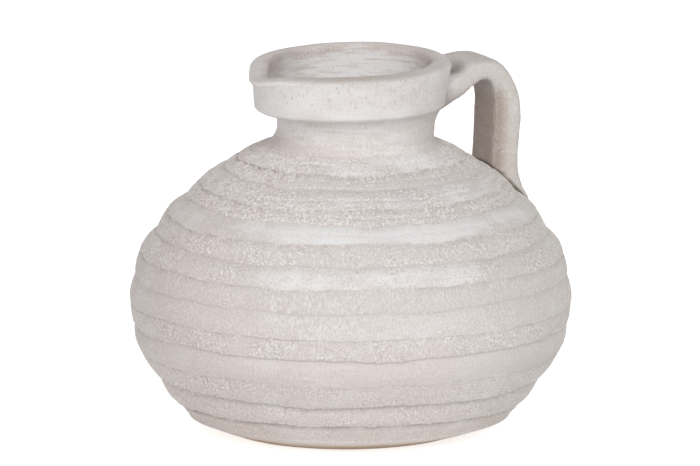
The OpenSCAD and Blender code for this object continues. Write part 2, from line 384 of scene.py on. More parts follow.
def coilLooks(at, turn, along, inward, undercut, broken, marks):
    # how sandy, pale, shaded, ringed, bare and brushed each place of a coil is
    lowSeam = at["Low Seam"]
    reach = along.math("ABSOLUTE")
    lowSide = along.math("LESS_THAN", 0.0)
    outside = 1.0 - inward
    upper = along.step(-0.05, 0.03)
    lower = 1.0 - upper
    slipAndLight = (turn - at["Slip Turn"]).math("COSINE")
    patch = marks("sand", lowSeam) * 0.8 + 0.6
    sandy = (at["Lower Sand"] * lower + at["Upper Sand"] * upper) * patch
    sandy = sandy * (1.0 - reach).step(0.0, 0.05) * outside * (1.25 - slipAndLight.step(0.2, 1.0) * 0.25)
    # paleness is partly white slip and partly painted light: the upper half is painted lightest midway up,
    # as light on its rounded face
    middle = 1.3 - (reach - 0.5).math("ABSOLUTE") * 1.7
    pale = at["Lower Pale"] * lower + at["Upper Pale"] * upper * middle
    daub = marks("daub", lowSeam).step(0.42, 0.62) * slipAndLight.step(-0.5, 0.5)
    # paleness fades towards the sides of the view, partly as painted shade there
    pale = pale * (slipAndLight.step(0.3, 1.0) * 0.85 + daub * 0.4 + 0.05)
    # painted shade under each crest, deeper towards the sides of the view, under the overhang of the seam
    # above, and in the undercut of the seam below
    underCrest = (1.0 - reach.step(0.02, 0.4)) * 0.55 + (1.0 - reach.step(0.04, 0.15)) * 0.45
    underCrest = underCrest * at["Crest Shade"] * broken * lowSide * (1.7 - slipAndLight.step(0.0, 1.0) * 0.7)
    underSeam = (reach ** 7.0) * at["High Shade"] * (1.0 - lowSide)
    return {
        "sandy": sandy,
        "pale": pale,
        "hollow": underCrest + underSeam + undercut * at["Low Shade"] * lowSide,
        "ringed": outside * at["Rings"],
        "bare": at["Lower Bare"] * lower,
        "brushed": outside * (at["Rings"] - 1.0) * 0.4,
    }


def coilValues(number, material):
    # the tree's inputs for one coil; the wall's lowest and highest seams don't wander
    size = coilSizes
    crest = size["crestHeights"][number]
    crestAngle = wallAngle(crest * mm)
    values = {
        "Crest Angle": crestAngle,
        "Crest Wave": wallAngle((crest + size["crestWaves"][number]) * mm) - crestAngle,
        "Slip Turn": math.radians(size["slipTurns"][number]),
        "Material": material,
    }
    for end, seam in (("Low ", number), ("High ", number + 1)):
        free = 0.0 if seam in (0, len(size["seamHeights"]) - 1) else 1.0
        values[end + "Angle"] = wallAngle(size["seamHeights"][seam] * mm)
        values[end + "Groove"] = size["grooves"][seam] * mm
        values[end + "Shade"] = size["seamShades"][seam]
        values[end + "Seam"] = float(seam)
        values[end + "Wander"] = free
        values[end + "Hold"] = 1.0 - free
    values.update({label: row[number] * mm for label, row in size["lengths"].items()})
    values.update({label: row[number] for label, row in size["shares"].items()})
    return values


# the hand-made surface: slow lumps, sand grain and fine cracks, pushed along each piece's outside
reliefSizes = {
    "lumpHeight": 0.9 * mm,
    "lumpScale": 34,
    "patchScale": 58,
    "patchSqueeze": 1.6,
    "grainHeight": 0.36 * mm,
    "grainScale": 860,
    "coarseScale": 660,
    "combScale": 950,
    "combSqueeze": 0.4,
    "combPatches": 30,
    "ringHeight": 0.3 * mm,
    "ringScale": 52,
    "ringSqueeze": 11,
    "crackDepth": 0.3 * mm,
    "crackScale": 760,
    "crackSqueeze": 0.32,
}


def sandGrain(place, sandy):
    # sand under the slip: fine grain, coarser where there is more of it, combed upright in places
    size = reliefSizes
    rough = sandy.step(0.65, 1.15)
    combed = place.noise(size["combPatches"], 1.0).step(0.5, 0.6)
    fine = place.noise(size["grainScale"], 1.0)
    comb = place.squeeze(size["combSqueeze"]).noise(size["combScale"], 1.0)
    coarse = place.noise(size["coarseScale"], 1.5)
    small = fine + (comb - fine) * combed
    return small + (coarse - small) * rough


def clayCracks(place):
    # fine upright cracks in the slip
    size = reliefSizes
    return 1.0 - place.squeeze(size["crackSqueeze"]).noise(size["crackScale"], 2.0).step(0.29, 0.41)


def reliefTree():
    tree, at = newTree("clayRelief", [])
    mesh = at["Mesh"]
    size = reliefSizes
    place = mesh.add("GeometryNodeInputPosition")
    push = readAttribute(mesh, "push", "FLOAT_VECTOR")
    streak = readAttribute(mesh, "streak")
    ringed = readAttribute(mesh, "ringed")
    spread = place.squeeze(size["patchSqueeze"]).noise(size["patchScale"], 2.0).step(0.36, 0.6)
    sandy = readAttribute(mesh, "sandy") * (spread * 0.35 + 0.75)
    mesh = keepAttribute(mesh, "sandy", sandy)
    lump = (place.noise(size["lumpScale"], 2.0) - 0.5) * size["lumpHeight"]
    grain = (sandGrain(place, sandy).step(0.36, 0.66) - 0.5) * sandy * size["grainHeight"]
    rings = place.squeeze(size["ringSqueeze"]).noise(size["ringScale"], 2.0) - 0.5
    rings = rings * ringed * size["ringHeight"]
    cracks = clayCracks(place) * streak * size["crackDepth"]
    move = push.times(lump + grain + rings - cracks)
    mesh = mesh.add("GeometryNodeSetPosition", {}, {"Geometry": mesh, "Offset": move})
    endTree(mesh, at["Material"])
    return tree


# finishes
slipFinish = {
    "white": linearColour(236, 235, 235),
    "warm": linearColour(219, 210, 207),
    "cool": linearColour(210, 205, 203),
    "coolSide": (0.17, -0.98, 0.0),  # the side where the clay under the slip is greyer
    "coolHeights": (50 * mm, 160 * mm),  # and the heights over which it turns so
    "sallow": linearColour(214, 209, 201),
    "sallowSide": (0.906, -0.423, 0.0),  # the side where it is yellower
    "bare": linearColour(202, 187, 178),
    "fleck": linearColour(240, 234, 230),
    "pit": linearColour(196, 187, 183),
    # the tone that painted shade and the fine cracks darken to
    "shadow": linearColour(116, 106, 97),
    "patchScale": 21,
    "patchSqueeze": 2.4,
    "blotchScale": 75,
    "blotchSqueeze": 2,
    "brushScale": 60,
    "brushSqueeze": 9,
    "wornScale": 70,
    "wornSqueeze": 3,
    "roughScale": 120,
    "fineScale": 1300,
    "fineDepth": 0.12 * mm,
    # places brushed whiter once more, and where the strength is negative made duller, the low one on the
    # left of the view as painted shade: x, y, z and radius in mm, strength
    "spots": (
        (17, -60, 178, 22, 0.45),
        (38, -82, 162, 26, 0.15),
        (66, -119, 123, 50, -0.7),
        (-129, -45, 118, 60, -0.6),
        (-100, -35, 22, 45, -0.6),
    ),
    "spotCore": 0.3,  # share of a spot's radius that has its full strength
}


def surfaceMaterial(name):
    material = bpy.data.materials.new(name)
    material.use_nodes = True
    tree = material.node_tree
    tree.nodes.clear()
    coords = Wire(tree, tree.nodes.new("ShaderNodeTexCoord").outputs["Object"])
    return material, coords


def toOutput(shader, kind="ShaderNodeOutputMaterial"):
    output = shader.tree.nodes.new(kind)
    shader.tree.links.new(shader.socket, output.inputs["Surface"])


def closeMaterial(coords, colour, roughness, grain, strength, depth):
    # a dull surface with its finest grain as bump
    bump = coords.add("ShaderNodeBump", {}, {"Height": grain, "Strength": strength, "Distance": depth})
    toOutput(coords.add("ShaderNodeBsdfPrincipled", {}, {
        "Base Color": colour, "Roughness": roughness, "Normal": bump, "Specular IOR Level": 0.25}))


def attributeOf(coords, name):
    return coords.add("ShaderNodeAttribute", {"attribute_name": name}, {}, output="Fac")


def slipMaterial():
    # a chalky white slip brushed thin over warm clay, worn to bare clay where it was wiped
    material, coords = surfaceMaterial("slipClay")
    tone = slipFinish
    sandy = attributeOf(coords, "sandy")
    pale = attributeOf(coords, "pale")
    bareness = attributeOf(coords, "bare")
    patch = coords.squeeze(tone["patchSqueeze"]).noise(tone["patchScale"], 3.0) - 0.5
    blotch = coords.squeeze(tone["blotchSqueeze"]).noise(tone["blotchScale"], 2.0) - 0.5
    brush = coords.squeeze(tone["brushSqueeze"]).noise(tone["brushScale"], 2.0) - 0.5
    brush = brush * (attributeOf(coords, "brushed") * 1.6 + 0.35)
    for x, y, z, radius, strength in tone["spots"]:
        away = coords.measure("DISTANCE", (x * mm, y * mm, z * mm))
        pale = pale + (1.0 - away.step(radius * tone["spotCore"] * mm, radius * mm)) * strength
    # pale from the pieces is partly whiter slip and partly painted light and shade
    white = (patch * 0.9 + blotch * 0.6 + pale * 0.8 + brush + 0.26).step(0.0, 1.0)
    belly = wallSizes["bellyRadius"]
    cool = (coords.measure("DOT_PRODUCT", tone["coolSide"]) / belly).step(-0.2, 0.9)
    cool = coords.height().step(*tone["coolHeights"]) * cool
    ground = cool.mixColour(tone["warm"], tone["cool"])
    sallow = (coords.measure("DOT_PRODUCT", tone["sallowSide"]) / belly).step(0.3, 0.9) * 0.7
    ground = sallow.mixColour(ground, tone["sallow"])
    colour = white.mixColour(ground, tone["white"])
    worn = coords.squeeze(tone["wornSqueeze"]).noise(tone["wornScale"], 3.0) - 0.5
    colour = (bareness + worn * bareness * 1.2).step(0.15, 0.85).mixColour(colour, tone["bare"])
    grain = sandGrain(coords, sandy)
    fleck = grain.step(0.5, 0.66) * sandy
    pit = (1.0 - grain.step(0.34, 0.5)) * sandy * (1.0 - white * 0.4)
    colour = (fleck * 0.8).mixColour(colour, tone["fleck"])
    colour = (pit * 0.68).mixColour(colour, tone["pit"])
    # painted shade: darkening under crests and seams, in creases, hollows and joins, and on sides turned
    # from the light
    colour = attributeOf(coords, "hollow").mixColour(colour, tone["shadow"])
    cracks = clayCracks(coords) * attributeOf(coords, "streak")
    colour = (cracks * 0.24).mixColour(colour, tone["shadow"])
    roughness = coords.noise(tone["roughScale"], 2.0) * 0.14 + 0.82
    fine = coords.noise(tone["fineScale"], 2.0)
    closeMaterial(coords, colour, roughness, fine, 0.25, tone["fineDepth"])
    return material


rawFinish = {
    "light": linearColour(236, 219, 202),
    "dark": linearColour(216, 194, 172),
    "slip": linearColour(229, 221, 214),
    "slipEdge": 5.0 * mm,
    "edgeSwing": 1.6 * mm,
    "edgeBlur": 0.3 * mm,
    "edgeScale": 60,
    "patchScale": 45,
    "speckScale": 700,
    "speckDepth": 0.15 * mm,
}


def rawMaterial():
    # the wiped foot: bare sandy clay below a ragged edge of slip
    material, coords = surfaceMaterial("rawClay")
    tone = rawFinish
    patch = coords.noise(tone["patchScale"], 3.0)
    speck = coords.noise(tone["speckScale"], 2.0)
    clay = (patch * 0.7 + speck * 0.5 - 0.1).step(0.2, 0.8).mixColour(tone["dark"], tone["light"])
    edge = coords.height() + (coords.noise(tone["edgeScale"], 3.0) - 0.5) * tone["edgeSwing"]
    slip = edge.step(tone["slipEdge"] - tone["edgeBlur"], tone["slipEdge"] + tone["edgeBlur"])
    colour = slip.mixColour(clay, tone["slip"])
    closeMaterial(coords, colour, speck * 0.12 + 0.84, speck, 0.3, tone["speckDepth"])
    return material


# mesh code for the pieces that are not coils; their points and sizes are in mm
def gridPiece(name, points, push, closedLoop, values):
    # points[i][j]: ring i round the piece or along it, j round a ring
    rings, sides = points.shape[:2]
    ringIds = np.arange(rings if closedLoop else rings - 1)
    a = (ringIds[:, None] * sides + np.arange(sides)[None, :]).ravel()
    b = (ringIds[:, None] * sides + (np.arange(sides) + 1)[None, :] % sides).ravel()
    total = rings * sides
    faces = np.stack([a, b, (b + sides) % total, (a + sides) % total], 1)
    mesh = bpy.data.meshes.new(name)
    mesh.from_pydata((points * mm).reshape(-1, 3).tolist(), [], faces.tolist())
    mesh.attributes.new("push", "FLOAT_VECTOR", "POINT").data.foreach_set("vector", push.ravel())
    for label, value in values.items():
        numbers = np.broadcast_to(value, (rings, sides)).astype(float)
        mesh.attributes.new(label, "FLOAT", "POINT").data.foreach_set("value", numbers.ravel())
    if not closedLoop:
        capEnds(mesh, rings, sides)
    piece = bpy.data.objects.new(name, mesh)
    bpy.context.scene.collection.objects.link(piece)
    return piece


def capEnds(mesh, rings, sides):
    # close the first and the last ring with a fan
    work = bmesh.new()
    work.from_mesh(mesh)
    work.verts.ensure_lookup_table()
    ends = [[work.verts[first + k] for k in range(sides)] for first in (0, (rings - 1) * sides)]
    for ring in ends:
        middle = work.verts.new(sum((v.co for v in ring), Vector()) / sides)
        for k in range(sides):
            work.faces.new((ring[k], ring[(k + 1) % sides], middle))
    work.to_mesh(mesh)
    work.free()


meshSizes = {
    "weld": 0.0005 * mm,
    "sharpAngle": math.radians(50),
}


def finishPiece(piece, nodeName, material, relief):
    useTree(piece, relief, {"Material": material})
    graph = bpy.context.evaluated_depsgraph_get()
    mesh = bpy.data.meshes.new_from_object(piece.evaluated_get(graph), depsgraph=graph)
    piece.modifiers.clear()
    piece.data = mesh
    work = bmesh.new()
    work.from_mesh(mesh)
    bmesh.ops.remove_doubles(work, verts=work.verts, dist=meshSizes["weld"])
    bmesh.ops.recalc_face_normals(work, faces=work.faces)
    work.to_mesh(mesh)
    work.free()
    mesh.polygons.foreach_set("use_smooth", [True] * len(mesh.polygons))
    mesh.set_sharp_from_angle(angle=meshSizes["sharpAngle"])
    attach(piece, "root")
    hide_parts(nodeName)
    print("made", piece.name, len(mesh.polygons), "faces")


def smoothPath(stations, count):
    # a smooth curve through rows of numbers, spaced by the distance between their places
    rows = np.array(stations, float)
    middle = (rows[:, 0:2] + rows[:, 2:4]) / 2
    where = np.concatenate([[0], np.cumsum(np.linalg.norm(np.diff(middle, axis=0), axis=1))])
    slopes = np.gradient(rows, where, axis=0)
    at = np.linspace(0, where[-1], count)
    k = np.clip(np.searchsorted(where, at, side="right") - 1, 0, len(where) - 2)
    span = (where[k + 1] - where[k])[:, None]
    t = (at - where[k])[:, None] / span
    a = (1 + 2 * t) * (1 - t) ** 2
    b = t * (1 - t) ** 2
    c = t * t * (3 - 2 * t)
    d = t * t * (t - 1)
    return a * rows[k] + b * span * slopes[k] + c * rows[k + 1] + d * span * slopes[k + 1]


def waver(turns, seed):
    # a slow unevenness round a ring, from a few waves of fixed phase
    waves = (2, 3, 5, 8)
    phases = np.random.default_rng(seed).uniform(0, fullTurn, len(waves))
    return sum(np.sin(n * turns + p) / n for n, p in zip(waves, phases))


def ringTurns(count):
    return np.arange(count) * fullTurn / count


def toward(turns, turn):
    # 1 on the side at this turn and 0 on the one opposite, as a column
    return (0.5 + 0.5 * np.cos(turns - turn))[:, None]


def lathePoints(profile, turns):
    # rings around the axis: one column of the profile for each turn
    ring = np.stack([np.cos(turns), np.sin(turns)], 1)
    flat = ring[:, None, :] * profile[None, :, 0:1]
    heights = np.broadcast_to(profile[None, :, 1:2], flat.shape[:2] + (1,))
    return np.concatenate([flat, heights], 2)


def shiftRight(points, amount):
    # move points to the right of the view
    points[:, :, 0] += amount * rightX
    points[:, :, 1] += amount * rightY


def profileNormals(profile, closed):
    # outward direction at each profile point, in the plane of radius and height
    if closed:
        along = np.roll(profile, -1, 0) - np.roll(profile, 1, 0)
    else:
        along = np.gradient(profile, axis=0)
    out = np.stack([along[:, 1], -along[:, 0]], 1)
    return out / np.maximum(np.linalg.norm(out, axis=1, keepdims=True), 1e-9)


def arc(centre, radii, startAngle, endAngle, count):
    a = np.radians(np.linspace(startAngle, endAngle, count))
    return np.stack([centre[0] + radii[0] * np.cos(a), centre[1] + radii[1] * np.sin(a)], 1)


def line(start, end, count):
    # points between two ends, without the ends
    return np.linspace(start, end, count + 2)[1:-1]


def blend(value, low, high):
    # 0 up to low, 1 from high on
    t = np.clip((value - low) / (high - low), 0, 1)
    return t * t * (3 - 2 * t)


def fade(value, low, high):
    # 1 up to low, 0 from high on
    return 1 - blend(value, low, high)


def bell(away, spread):
    return np.exp(-(away / spread) ** 2)


slabSizes = {
    "around": 720,
    "footRadius": 76.6,
    "footShift": 2.2,  # the foot was cut a little to the left of the view
    "rawHeight": 0.8,
    "rawStep": 0.6,  # the wall stands out past the raw edge
    "edgeRadius": 0.4,
    "top": 10,
    "bow": 0.92,  # the power of the wall's curve
    "uneven": 0.5,
    "unevenRadius": 80,  # where the unevenness has that size
    "unevenStart": (0, 2),  # heights over which it sets in
    "unevenEnd": 5,  # from here it fades to the top
    "grainStart": (0.2, 1.5),
    "grainEnd": 6,
    "grainInside": 60,  # no grain nearer to the axis
}


def makeSlab():
    size = slabSizes
    foot, raw, edge = size["footRadius"], size["rawHeight"], size["edgeRadius"]
    rim, top = [x / mm for x in wallPoint(size["top"] * mm, coilSizes["grooves"][0] * mm)]
    start = foot + size["rawStep"]
    t = np.linspace(0, 1, 26)
    wall = np.stack([start + (rim - start) * t ** size["bow"], raw + (top - raw) * t], 1)
    profile = np.concatenate([
        [[0, 0]], line((0, 0), (foot - edge, 0), 40),
        arc((foot - edge, edge), (edge, edge), -90, 0, 6),
        wall, line(wall[-1], (0, top), 20), [[0, top]]])
    reach, level = profile.T
    turns = ringTurns(size["around"])
    points = lathePoints(profile, turns)
    lifted = blend(level, *size["unevenStart"]) * fade(level, size["unevenEnd"], top)
    uneven = waver(turns, 4)[:, None] * size["uneven"] * lifted
    points[:, :, 0:2] *= (1 + uneven / size["unevenRadius"])[:, :, None]
    shiftRight(points, leanAt(level * mm) / mm - size["footShift"] * fade(level, 0, top))
    hold = blend(level, *size["grainStart"]) * fade(level, size["grainEnd"], top)
    hold = hold * (reach > size["grainInside"])
    push = lathePoints(profileNormals(profile, False) * hold[:, None], turns)
    return gridPiece("baseSlab", points, push, True, {"sandy": 0.5, "pale": 0.0})


neckSizes = {
    "around": 720,
    "rows": 34,
    "waist": 49.6,
    "waistHeight": 194.5,
    "waistEase": 6,  # how far below it the curve is upright
    "shoulderStep": (4.3, 1.7),  # the curve's start, in and up along the shoulder
    "offset": 3.6,  # the waist is thrown off centre, to the right of the view
    "offsetEnd": 2,  # in full from this far below the waist
    "bore": 40,
    "flare": 0.8,
    "sunk": 0.4,  # into the collar
    "fillet": 5.6,  # clay drawn out under the collar on the handle's side
    "filletFrom": 190,
    "filletTurn": math.radians(-16),
    "filletRise": 0.45,
    "filletPowers": (2.8, 1.8),  # of its curve upwards and round the neck
    "plainFoot": 3,  # height without grain, brushwork and streaks
    "sandEnd": 4,  # the sand thins out to this far below the waist
    "shade": (9, 1),  # depths under the collar over which the painted shade deepens
    "slipTurn": math.radians(-98),  # a brushed patch of whiter slip
}


def makeNeck():
    size = neckSizes
    throat, top = [corner.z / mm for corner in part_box("neck_ring")]
    bottom = coilSizes["seamHeights"][-1]
    foot = wallRadius(bottom * mm) / mm
    waist, middle, bore = size["waist"], size["waistHeight"], size["bore"]
    t = np.linspace(0, 1, size["rows"])
    s = 1 - t
    stepIn, stepUp = size["shoulderStep"]
    # from the shoulder's own slope up into the waist
    ends = ((foot, bottom), (foot - stepIn, bottom + stepUp), (waist, middle - size["waistEase"]),
            (waist, middle))
    weights = (s ** 3, 3 * t * s ** 2, 3 * t * t * s, t ** 3)
    low = sum(np.outer(w, p) for w, p in zip(weights, ends))
    high = np.stack([waist + size["flare"] * t ** 2, middle + (top + size["sunk"] - middle) * t], 1)
    profile = np.concatenate([
        low, high[1:], line(high[-1], (bore, top), 6), [[bore, top]],
        line((bore, top), (bore, throat), 30), [[bore, throat]],
        line((bore, throat), (foot, bottom), 6)])
    level = profile[:, 1]
    outside = np.zeros(len(profile))
    outside[:len(low) + len(high) - 1] = 1
    turns = ringTurns(size["around"])
    points = lathePoints(profile, turns)
    share = blend(level, bottom, middle - size["offsetEnd"])
    offset = leanAt(level * mm) / mm + (size["offset"] - leanAt(middle * mm) / mm) * share
    shiftRight(points, offset * outside)
    upPower, roundPower = size["filletPowers"]
    rise = np.clip((level - size["filletFrom"]) / (top - size["filletFrom"]), 0, 1) ** upPower
    facing = np.clip(np.cos(turns - size["filletTurn"]), 0, 1) ** roundPower
    grown = facing[:, None] * rise * outside * size["fillet"]
    points[:, :, 0] += grown * np.cos(turns)[:, None]
    points[:, :, 1] += grown * np.sin(turns)[:, None]
    points[:, :, 2] += grown * size["filletRise"]
    hold = outside * blend(level, bottom, bottom + size["plainFoot"])
    push = lathePoints(profileNormals(profile, True) * hold[:, None], turns)
    # looks
    leftward = toward(turns, leftTurn)
    upward = blend(level, bottom + size["plainFoot"], middle) * outside
    brushed = np.clip(np.cos(turns - size["slipTurn"]), 0, 1)[:, None] ** 6
    shadeStart, shadeEnd = size["shade"]
    values = {
        "sandy": outside * (0.9 - 0.45 * blend(level, bottom, middle - size["sandEnd"])),
        # painted light: the upper neck is made paler, most of all on the left of the view, against the
        # shade under the collar
        "pale": upward * (0.15 + 0.8 * leftward ** 2) - 0.2 * outside + brushed * 0.15,
        "streak": upward * (0.4 + 0.3 * leftward),
        # painted shade just under the collar, less of it on the left of the view
        "hollow": outside * blend(level, top - shadeStart, top - shadeEnd) * (0.06 - 0.06 * leftward),
        "brushed": 0.4 * outside,
        "ringed": outside,
    }
    return gridPiece("neckRing", points, push, True, values)


collarSizes = {
    "around": 720,
    "seat": 49.5,  # radius of the neck under it
    "bandFoot": 60.5,
    "bandTop": 63.0,
    "underside": 4.2,
    "wall": 10,
    "rimCorner": 3.4,
    "innerCorner": 3.0,
    "bowlFloor": 3,  # above the collar's lowest edge
    "hole": 40.4,
    "holeEdge": 0.1,  # nothing is pinched this near to the hole
    "rimRise": 0.15,  # before the unevenness takes it down
    "rimDrop": 0.3,  # the rim's top falls to its outer edge
    "frontDip": 1.2,  # the rim is lower at the front
    "frontDrop": 2.0,  # and falls more to its outer edge there
    "dropFrom": 0.85,  # shares here are of the band's height
    "backReach": 2.3,  # it is rounder at the back
    "rightReach": 2.0,  # and towards the handle
    "rightTurn": math.radians(30),
    "leftDip": 1.0,  # lower behind the lip
    "leftDipTurn": math.radians(125),
    "pinch": 2.8,  # its wall is thicker at both sides of the view
    "pinchEnd": 5,  # in full from this far below the rim up
    "lipTurn": math.pi,
    "lipReach": 5.4,
    "lipSpread": math.radians(15),
    "lipShares": (0.58, 0.98),
    "lipDip": 5.6,
    "dipSpread": math.radians(20),
    "dipShares": (0.2, 1.0),
    "besideDip": 1.5,  # the rim is still low in front of the lip
    "besideTurn": math.radians(36),
    "besideSpread": math.radians(22),
    "sag": 2.3,  # the lower edge hangs lower on the left of the view
    "sagShares": (0.0, 0.6),
    "sagInside": 2,  # but not this near to the neck
    "uneven": 0.5,
    "ripple": 0.25,
    "plainFoot": 1,  # height without grain
    "wornEdge": (5, 1),  # how far out past the mouth the rim's wear ends, and is in full
    "bowlEdge": 1,  # the bowl's looks go on this far out past the mouth
    "upperBowl": (9, 3.5),  # depths under the rim over which the bowl gets barer
    "slipTurn": math.radians(54),  # middle of the slip brushed inside the bowl
    "slipSpread": math.radians(52),
}


def collarProfile(low, rim):
    # underside, band, rim and bowl, from the neck round to the neck
    size = collarSizes
    seat, foot, top, under = size["seat"], size["bandFoot"], size["bandTop"], size["underside"]
    corner, turnIn, hole = size["rimCorner"], size["innerCorner"], size["hole"]
    mouth, bowl = top - size["wall"], low + size["bowlFloor"]
    lean = math.degrees(math.atan2(size["rimDrop"], size["wall"] - corner))
    shoulder = arc((top - corner, rim - size["rimDrop"] - corner), (corner, corner), 0, 90 - lean, 10)
    roll = arc((mouth + turnIn, rim - turnIn), (turnIn, turnIn), 90 - lean, 180, 14)
    return np.concatenate([
        arc((seat, low + under), (foot - seat, under), -90, 0, 16),
        line((foot, low + under), shoulder[0], 40), shoulder,
        line(shoulder[-1], roll[0], 10), roll,
        arc((hole, rim - turnIn), (mouth - hole, rim - turnIn - bowl), 0, -90, 44)[1:],
        [[hole, low]], line((hole, low), (seat, low), 4)])


def collarPoints(profile, turns, span, low, rim):
    # the turned profile, pulled out of round by the potter's hands
    size = collarSizes
    reach, level = profile.T
    points = lathePoints(profile, turns)
    away = turns - size["lipTurn"]
    lip = bell(away, size["lipSpread"])[:, None] * blend(span, *size["lipShares"])
    dip = bell(away, size["dipSpread"]) * size["lipDip"]
    dip = dip + bell(away - size["besideTurn"], size["besideSpread"]) * size["besideDip"]
    facing = toward(turns, frontTurn)
    uneven = waver(turns, 11)[:, None] * size["uneven"] + (1 - facing) ** 2 * size["backReach"]
    uneven = uneven + toward(turns, size["rightTurn"]) ** 6 * size["rightReach"]
    mouth = size["bandTop"] - size["wall"]
    outward = np.clip((reach - mouth) / size["wall"], 0, 1)  # 0 at the mouth, 1 at the band
    inner = (1 - outward) * (reach > size["hole"] + size["holeEdge"])
    pinched = blend(level, low + size["bowlFloor"], rim - size["pinchEnd"]) * size["pinch"]
    pinch = np.cos(turns - leftTurn)[:, None] ** 2 * inner * pinched
    grown = lip * size["lipReach"] + uneven * span - pinch
    points[:, :, 0:2] *= (1 + grown / reach)[:, :, None]
    drop = outward * (span > size["dropFrom"]) * size["frontDrop"]
    behindLip = toward(turns, size["leftDipTurn"]) ** 3
    ripple = np.abs(waver(turns, 23))[:, None] * size["ripple"]
    fall = dip[:, None] * blend(span, *size["dipShares"]) + facing * (span * size["frontDip"] + drop)
    points[:, :, 2] -= fall + (behindLip * size["leftDip"] + ripple) * span
    hang = toward(turns, leftTurn) ** 2 * fade(span, *size["sagShares"]) * size["sag"]
    outer = np.linalg.norm(points[:, :, 0:2], axis=2) > size["seat"] + size["sagInside"]
    points[:, :, 2] -= hang * outer
    return points


def collarLooks(profile, turns, span, low, rim):
    # how sandy, pale, streaked, bare and brushed each place is, and where shade is painted
    size = collarSizes
    reach, level = profile.T
    side = profileNormals(profile, True)
    mouth, bowl = size["bandTop"] - size["wall"], low + size["bowlFloor"]
    facing = toward(turns, frontTurn)
    leftward = toward(turns, leftTurn) ** 2
    toHandle = toward(turns, size["rightTurn"]) ** 6
    band = (side[:, 0] > 0.6).astype(float)
    rimTop = blend(side[:, 1], 0.35, 0.95)
    bowlSide = ((reach < mouth + size["bowlEdge"]) & (level > bowl)).astype(float)
    bowlStart, bowlEnd = size["upperBowl"]
    upperBowl = bowlSide * blend(level, rim - bowlStart, rim - bowlEnd)
    edgeOut, edgeIn = size["wornEdge"]
    innerEdge = fade(reach, mouth + edgeIn, mouth + edgeOut) * (span > 0.6)
    brushed = bell(turns - size["slipTurn"], size["slipSpread"])[:, None] * bowlSide
    brushed = brushed * (1 - 0.8 * upperBowl)
    bare = rimTop * (0.1 + 0.35 * facing ** 3) + innerEdge * (0.24 + 0.2 * facing) + upperBowl * 0.15
    sandy = 0.4 - 0.25 * leftward + 0.3 * toHandle * blend(span, 0.4, 0.7)
    # painted light: the band is made paler on the left of the view, but not at the rim's edge
    pale = (0.1 + 0.8 * leftward) * (1 - 0.8 * blend(span, 0.85, 0.97))
    return {
        "sandy": band * sandy + bowlSide * 0.55,
        "pale": band * pale + brushed * 0.9 - bowlSide * 0.15,
        "streak": band * blend(span, 0.05, 0.4) * 1.5,
        "bare": np.clip(bare, 0, 1),
        # painted shade on the front of the rim's top and on the bowl's left side
        "hollow": rimTop * facing ** 3 * 0.12 + bowlSide * blend(leftward, 0.3, 0.9) * 0.15,
        "brushed": bowlSide * 2.2,
        "ringed": band * 0.5 + bowlSide,
    }


def makeCollar():
    size = collarSizes
    low, high = [corner.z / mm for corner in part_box("rim_collar")]
    rim = high + size["rimRise"]
    profile = collarProfile(low, rim)
    turns = ringTurns(size["around"])
    bandLow = low + size["underside"]
    span = np.clip((profile[:, 1] - bandLow) / (high - bandLow), 0, 1)  # 0 to 1 up the band
    points = collarPoints(profile, turns, span, low, rim)
    hold = (profile[:, 1] > low + size["plainFoot"]).astype(float)
    push = lathePoints(profileNormals(profile, True) * hold[:, None], turns)
    return gridPiece("rimCollar", points, push, True, collarLooks(profile, turns, span, low, rim))


